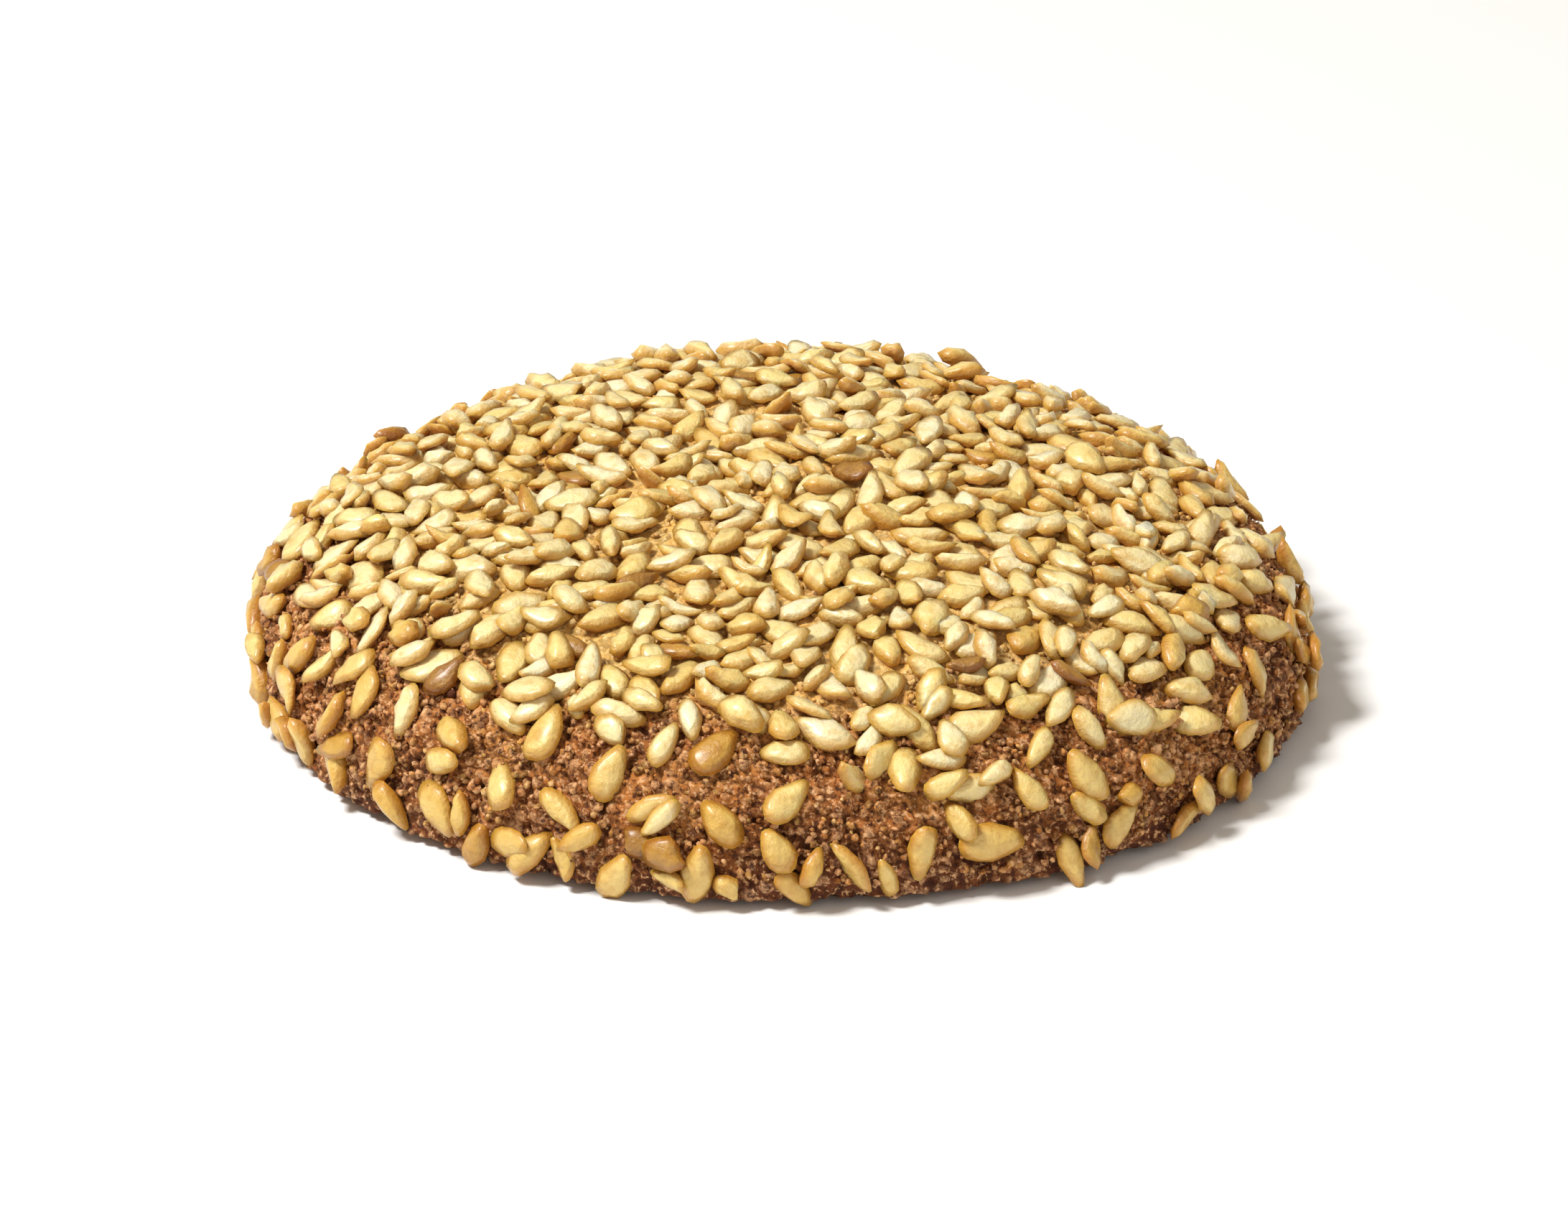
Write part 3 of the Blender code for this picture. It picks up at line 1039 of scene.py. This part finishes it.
    def lay_between(self, large: list[Place]) -> list[Place]:
        """Lay smaller seeds in the gaps and on top of the large ones, lowest rest first.

        Args:
            large: The large seeds.

        Returns:
            The smaller seeds' places.
        """
        draw = random.Random(self.gap_draw)
        grid = SeedGrid(self.grid_reach * self.length)
        for place in large:
            grid.add(place)
        places = []
        for _ in range(self.gap_seeds):
            scale = draw.triangular(*self.gap_sizes)
            slimness = draw.uniform(*self.gap_slimness)
            rests = []
            on_rim = draw.random() < self.gap_rim_share
            for _ in range(self.rim_tries if on_rim else self.gap_tries):
                share, angle = self.somewhere(draw)
                if (share > self.dense_edge + draw.gauss(0.0, self.dense_blur)) != on_rim:
                    continue
                point, outward = self.form.outward(share, angle)
                across = outward.orthogonal().normalized()
                turn = draw.uniform(0.0, FULL_TURN)
                heading = across * math.cos(turn) + outward.cross(across) * math.sin(turn)
                rocks = [draw.gauss(0.0, rock) for rock in self.gap_rocks]
                trial = Place(scale, slimness, point, outward, heading, *rocks, self.gap_lift)
                rests.append(self.support(grid, trial))
            if rests:
                lowest = min(rests, key=attrgetter("lift"))
                grid.add(lowest)
                places.append(lowest)
        return places


@dataclass
class SeedMold:
    """One low mesh of a sesame seed, one unit long, wide and thick, that is cast many times."""

    shape: SeedShape
    around: int = 16
    rings: int = 4
    end_crowding: float = 0.78
    taper: float = 0.42
    taper_part: tuple[float, float] = (-0.20, 0.70)
    taper_power: float = 1.4
    bluntness: float = 0.22
    nib: float = 0.42
    point_growth: float = 0.03
    fullness: float = 0.86
    point_thinning: float = 0.4
    bend_middle: float = 0.35
    bend_strength: float = 1.2
    cut_slant: float = 0.3
    points: np.ndarray = field(init=False)
    chart: np.ndarray = field(init=False)
    levels: np.ndarray = field(init=False)
    faces: list[tuple[int, ...]] = field(init=False)

    def __post_init__(self) -> None:
        """Shape the seed from a ball."""
        chart, levels = [], []
        ball = bmesh.new()
        bmesh.ops.create_uvsphere(ball, u_segments=self.around, v_segments=self.rings, radius=0.5)
        for corner in ball.verts:
            turn = math.atan2(self.end_crowding * corner.co.y, corner.co.x)
            reach = corner.co.xy.length
            x, y, z = reach * math.cos(turn), reach * math.sin(turn), corner.co.z
            chart.append((x + 0.5, y + 0.5))
            levels.append(z + 0.5)
            corner.co = self.shaped(x, y, z)
        ball.verts.index_update()
        self.chart = np.array(chart)
        self.levels = np.array(levels)
        self.points = np.array([corner.co[:] for corner in ball.verts])
        self.faces = [tuple(corner.index for corner in face.verts) for face in ball.faces]
        ball.free()

    def shaped(self, x: float, y: float, z: float) -> tuple[float, float, float]:
        """Shape one point of the ball, whose blunt end is at -X and its pointed end at +X.

        Args:
            x: Place along the seed.
            y: Place across it.
            z: Place up through it.

        Returns:
            The point of the seed.
        """
        slim, flat, bend, dent, cut = self.shape.value
        narrow = 1.0 - self.taper * climb(x, *self.taper_part) ** self.taper_power
        middle = max(1.0 - (2.0 * x) ** 2 - (2.0 * y) ** 2, 0.0)
        z = math.copysign(abs(2.0 * z) ** self.fullness, z) * 0.5
        y *= narrow * slim * (1.0 + self.bluntness * (2.0 * min(x, 0.0)) ** 4)
        y *= 1.0 + self.nib * (2.0 * max(x, 0.0)) ** 6
        z = z * flat * (1.0 - self.point_thinning + self.point_thinning * narrow) * (1.0 - dent * middle)
        z += bend * ((2.0 * x) ** 2 - self.bend_middle) * self.bend_strength
        x = min(x * (1.0 + 2.0 * self.point_growth * max(x, 0.0)), cut + self.cut_slant * y)
        return x, y, z


@dataclass
class SesameCoat:
    """Seeds of one kind, cast from the molds and joined in one mesh."""

    name: str
    laying: SesameLaying
    places: list[Place]
    draw: random.Random
    shares: dict[SeedShape, float]
    toast: tuple[float, float] = (0.20, 0.11)
    rim_toast: float = 0.31
    rim_facing: tuple[float, float] = (0.85, 0.5)
    brown_share: float = 0.02
    brown: tuple[float, float] = (0.6, 0.95)
    unevenness: float = 0.06 * MM
    thickness: tuple[float, float] = (0.76, 1.14)
    even_thickness: float = 0.6
    lean: tuple[float, float] = (0.80, 1.0)
    curve: tuple[float, float] = (-0.05, 0.10)
    twist: float = 0.2
    lumps: tuple[float, float, float] = (8.0, 9.0, 15.0)
    rumple: float = 0.10
    rumple_shares: tuple[float, float, float] = (0.4, 0.4, 1.7)

    def cast(self, mold: SeedMold, place: Place) -> np.ndarray:
        """Cast one seed: no two are quite alike.

        Args:
            mold: The seed's mold.
            place: The seed's size and place.

        Returns:
            The seed's points, before it is set in its place.
        """
        unit = mold.points
        thick = self.even_thickness + (1.0 - self.even_thickness) * place.scale
        size = np.array((
            self.laying.length * place.scale,
            self.laying.width * place.scale * place.slimness,
            self.laying.thickness * thick * self.draw.uniform(*self.thickness),
        ))
        lean = self.draw.uniform(*self.lean)
        curve = self.draw.uniform(*self.curve)
        twist = self.draw.gauss(0.0, self.twist)
        first, second, third = (self.draw.uniform(0.0, FULL_TURN) for _ in range(3))
        lumps = np.sin(self.lumps[0] * unit[:, 0] + first) * np.sin(self.lumps[1] * unit[:, 1] + second)
        lumps = lumps + 0.5 * np.sin(self.lumps[2] * unit[:, 0] + third)
        swell = self.rumple * lumps
        body = unit * size * np.stack([1.0 + share * swell for share in self.rumple_shares], axis=1)
        body[:, 1] = np.where(body[:, 1] > 0.0, body[:, 1] * lean, body[:, 1])
        body[:, 2] += curve * size[2] * 4.0 * (unit[:, 0] ** 2 * 4.0 - mold.bend_middle)
        turn = twist * unit[:, 0] * 2.0
        aside = body[:, 1] * np.cos(turn) - body[:, 2] * np.sin(turn)
        above = body[:, 1] * np.sin(turn) + body[:, 2] * np.cos(turn)
        body[:, 1], body[:, 2] = aside, above
        return body

    def toasting(self, place: Place) -> float:
        """Draw how toasted a seed is: those that face sideways brown more, and a few are brown anywhere.

        Args:
            place: The seed's place.

        Returns:
            The toasting, from 0 to 1.
        """
        facing, fall = self.rim_facing
        level = self.draw.gauss(*self.toast) + self.rim_toast * clamp((facing - place.outward.z) / fall)
        return clamp(self.draw.uniform(*self.brown) if self.draw.random() < self.brown_share else level)

    def build(self, molds: dict[SeedShape, SeedMold], dressed: bpy.types.Material) -> bpy.types.Object:
        """Cast each seed in its place and join them.

        Args:
            molds: A mold for each shape.
            dressed: The seeds' material.

        Returns:
            The coat of seeds.
        """
        casts, charts = [], []
        for place in self.places:
            mold = molds[self.draw.choices(list(self.shares), list(self.shares.values()))[0]]
            body = self.cast(mold, place)
            faces = mold.faces
            if self.draw.random() < 0.5:
                body[:, 1] = -body[:, 1]
                faces = [tuple(reversed(face)) for face in faces]
            matrix = np.array(place.matrix())
            body = body @ matrix[:3, :3].T + matrix[:3, 3]
            body[:, 2] = np.maximum(body[:, 2], self.draw.uniform(0.0, self.unevenness))
            casts.append((body, faces, {"toast": self.toasting(place), "level": mold.levels}))
            charts.append(mold.chart)
        mesh = join_casts(self.name, casts)
        corners = np.empty(len(mesh.loops), dtype=np.int32)
        mesh.loops.foreach_get("vertex_index", corners)
        layer = mesh.uv_layers.new(name="UVMap")
        layer.data.foreach_set("uv", np.concatenate(charts)[corners].ravel())
        mesh.validate()
        return settle(mesh, dressed)


# The underside


@dataclass
class Underside:
    """Seeds and pistachio slivers baked into the underside and pressed level with the tray.

    A sliver is its place along X and Y, its turn, its length and its width.
    """

    form: DoughForm
    laying: SesameLaying
    seeds: int = 26
    tries: int = 14
    first_draw: int = 77
    reach: float = 28.5 * MM
    small_seeds: int = 150
    small_tries: int = 5
    small_draw: int = 991
    small_sizes: tuple[float, float] = (0.74, 1.0)
    small_slimness: tuple[float, float] = (0.88, 1.08)
    small_lift: float = 0.12 * MM
    slivers: tuple[tuple[float, float, float, float, float], ...] = (
        (-9.5 * MM, 11.0 * MM, 0.4, 6.2 * MM, 2.6 * MM),
        (12.5 * MM, 8.0 * MM, 1.9, 5.0 * MM, 2.2 * MM),
        (2.0 * MM, -3.5 * MM, 2.7, 5.6 * MM, 2.9 * MM),
        (-15.5 * MM, -8.5 * MM, 1.2, 4.6 * MM, 2.1 * MM),
        (9.0 * MM, -16.0 * MM, 0.2, 6.4 * MM, 2.3 * MM),
    )
    sliver_parts: tuple[float, float, float] = (-0.4, 0.0, 0.4)
    sliver_depth: float = 1.1 * MM
    sliver_growth: float = 1.06
    sliver_fullness: float = 0.6
    sliver_roughness: float = 0.16
    sliver_lift: float = 0.30 * MM
    sliver_lowest: float = 0.03 * MM

    def lay_seed(
        self, draw: random.Random, laid: Laid, tries: int, scale: float
    ) -> tuple[Vector, Vector, Vector]:
        """Find a seed's place where there is most room, and note it.

        Args:
            draw: The source of chance.
            laid: What is already laid, to which the seed is added.
            tries: How many places to draw.
            scale: The seed's size.

        Returns:
            The seed's point, the way that the underside faces and the seed's heading.
        """
        tried = []
        for _ in range(tries):
            radius = self.reach * math.sqrt(draw.random())
            angle = draw.uniform(0.0, FULL_TURN)
            point = Vector((radius * math.cos(angle), radius * math.sin(angle), self.form.underside))
            tried.append((min((middle - point).length for middle, _ in laid), point))
        point = max(tried, key=itemgetter(0))[1]
        heading, ends = self.laying.clearest_heading(draw, point, DOWN, self.laying.length * scale, laid)
        laid.append((point, ends))
        return point, DOWN, heading

    def lay_seeds(self) -> list[Place]:
        """Lay the seeds of the underside, those of the solid first.

        Returns:
            Their places.
        """
        laid: Laid = []
        for x, y, turn, length, _ in self.slivers:
            middle = Vector((x, y, self.form.underside))
            ahead = Vector((math.cos(turn), math.sin(turn), 0.0)) * length
            laid.append((middle, [middle + ahead * part for part in self.sliver_parts]))
        places = []
        draw = random.Random(self.first_draw)
        for scale, slimness in self.laying.sizes(draw, self.seeds):
            places.append(Place(scale, slimness, *self.lay_seed(draw, laid, self.tries, scale)))
        draw = random.Random(self.small_draw)
        for _ in range(self.small_seeds):
            scale = draw.uniform(*self.small_sizes)
            found = self.lay_seed(draw, laid, self.small_tries, scale)
            places.append(Place(scale, draw.uniform(*self.small_slimness), *found, lift=self.small_lift))
        return places

    def build_slivers(self, finish: RoastedPistachio) -> bpy.types.Object:
        """Make the pistachio slivers, each an uneven chip with its face level with the tray.

        Args:
            finish: The slivers' finish.

        Returns:
            The slivers, joined.
        """
        chips = bmesh.new()
        for number, (x, y, turn, length, width) in enumerate(self.slivers):
            made = bmesh.ops.create_icosphere(chips, subdivisions=3, radius=0.5)["verts"]
            for corner in made:
                bumps = noise.noise(corner.co * 3.0 + Vector((number * 7.0, 0.0, 0.0)))
                corner.co *= 1.0 + self.sliver_roughness * bumps
                corner.co.x *= length * self.sliver_growth
                corner.co.y *= width * self.sliver_growth
                full = math.copysign(abs(2.0 * corner.co.z) ** self.sliver_fullness, corner.co.z)
                corner.co.z = full * self.sliver_depth * 0.5
            place = Matrix.Translation((x, y, self.sliver_lift)) @ Matrix.Rotation(turn, 4, "Z")
            bmesh.ops.transform(chips, matrix=place, verts=made)
        for corner in chips.verts:
            corner.co.z = max(corner.co.z, self.sliver_lowest)
        return settle(smooth_mesh("pistachio_slivers", chips), finish.material())


# The stage


@dataclass(frozen=True)
class Lamp:
    """A square lamp: where it hangs, its power in watts and the width of its face."""

    name: str
    place: tuple[float, float, float]
    power: float
    width: float


@dataclass
class Studio:
    """A pale paper floor, soft lights and the camera, which looks down on the biscuit's face."""

    finish: StudioPaper
    floor_size: float = 3.0
    elevation: float = 25.5
    distance: float = 0.52
    frame_width: float = 96.0 * MM
    sensor_width: float = 36.0
    near_clip: float = 0.01
    aim: tuple[float, float, float] = (0.0, 0.0, 4.5 * MM)
    lamps: tuple[Lamp, ...] = (
        Lamp("key_light", (-0.28, -0.10, 0.50), 3.8, 0.14),
        Lamp("fill_light", (0.35, -0.55, 0.30), 0.85, 0.70),
    )
    sky: str = "#fbf4ea"
    sky_strength: float = 0.37

    def build(self) -> None:
        """Lay the floor, hang the lights and set the camera."""
        sheet = bmesh.new()
        bmesh.ops.create_grid(sheet, x_segments=1, y_segments=1, size=0.5 * self.floor_size)
        show(smooth_mesh("paper_floor", sheet), self.finish.material())
        for lamp in self.lamps:
            self.hang(lamp)
        self.paint_sky()
        self.set_camera()

    def hang(self, lamp: Lamp) -> None:
        """Hang a lamp so that it faces the biscuit.

        Args:
            lamp: The lamp.
        """
        light = bpy.data.lights.new(lamp.name, "AREA")
        light.energy = lamp.power
        light.size = lamp.width
        hung = bpy.data.objects.new(lamp.name, light)
        hung.location = lamp.place
        hung.rotation_euler = (Vector(self.aim) - Vector(lamp.place)).to_track_quat("-Z", "Y").to_euler()
        bpy.context.scene.collection.objects.link(hung)

    def paint_sky(self) -> None:
        """Give the surroundings an even pale light."""
        world = bpy.data.worlds.new("studio_air")
        world.use_nodes = True
        air = world.node_tree.nodes["Background"]
        air.inputs["Color"].default_value = linear(self.sky)
        air.inputs["Strength"].default_value = self.sky_strength
        bpy.context.scene.world = world

    def set_camera(self) -> None:
        """Set the camera at the angle from which the face is seen."""
        lens = bpy.data.cameras.new("camera")
        lens.sensor_width = self.sensor_width
        lens.lens = self.sensor_width * self.distance / self.frame_width
        lens.clip_start = self.near_clip
        camera = bpy.data.objects.new("camera", lens)
        rise = math.radians(self.elevation)
        away = Vector((0.0, -math.cos(rise), math.sin(rise)))
        camera.location = Vector(self.aim) + away * self.distance
        camera.rotation_euler = (-away).to_track_quat("-Z", "Y").to_euler()
        bpy.context.scene.collection.objects.link(camera)
        bpy.context.scene.camera = camera
        bpy.context.scene.view_settings.view_transform = "Standard"


def report(piece: bpy.types.Object) -> None:
    """Report a piece's name and size.

    Args:
        piece: The piece.
    """
    triangles = sum(len(face.vertices) - 2 for face in piece.data.polygons)
    log.info("%s: %d points, %d triangles", piece.name, len(piece.data.vertices), triangles)


def main() -> None:
    """Build the barazek and its studio."""
    logging.basicConfig(level=logging.INFO, format="%(name)s %(message)s")
    form = DoughForm()
    dough = Dough(form, BakedDough()).build()
    report(dough)
    report(Crumbs(form).build(dough.data.materials[0]))

    laying = SesameLaying(form)
    molds = {shape: SeedMold(shape) for shape in SeedShape}
    skin = ToastedSesame().material()
    whole = {
        SeedShape.PLUMP: 0.34, SeedShape.FLAT: 0.26, SeedShape.SLIM: 0.14,
        SeedShape.BENT: 0.12, SeedShape.DENTED: 0.14,
    }
    mixed = {
        SeedShape.PLUMP: 0.22, SeedShape.FLAT: 0.20, SeedShape.SLIM: 0.18, SeedShape.BENT: 0.14,
        SeedShape.DENTED: 0.12, SeedShape.CURLED: 0.08, SeedShape.BROKEN: 0.06,
    }
    large = laying.lay_large()
    between = laying.lay_between(large)
    below = Underside(form, laying)
    beneath = below.lay_seeds()
    for coat in (
        SesameCoat("large_seeds", laying, large, random.Random(51), whole),
        SesameCoat("seeds_between", laying, between, random.Random(52), mixed, rumple=0.14),
        SesameCoat("underside_seeds", laying, beneath, random.Random(53), whole, toast=(0.30, 0.12)),
    ):
        report(coat.build(molds, skin))
    report(below.build_slivers(RoastedPistachio()))

    Studio(StudioPaper()).build()


if __name__ == "__main__":
    main()
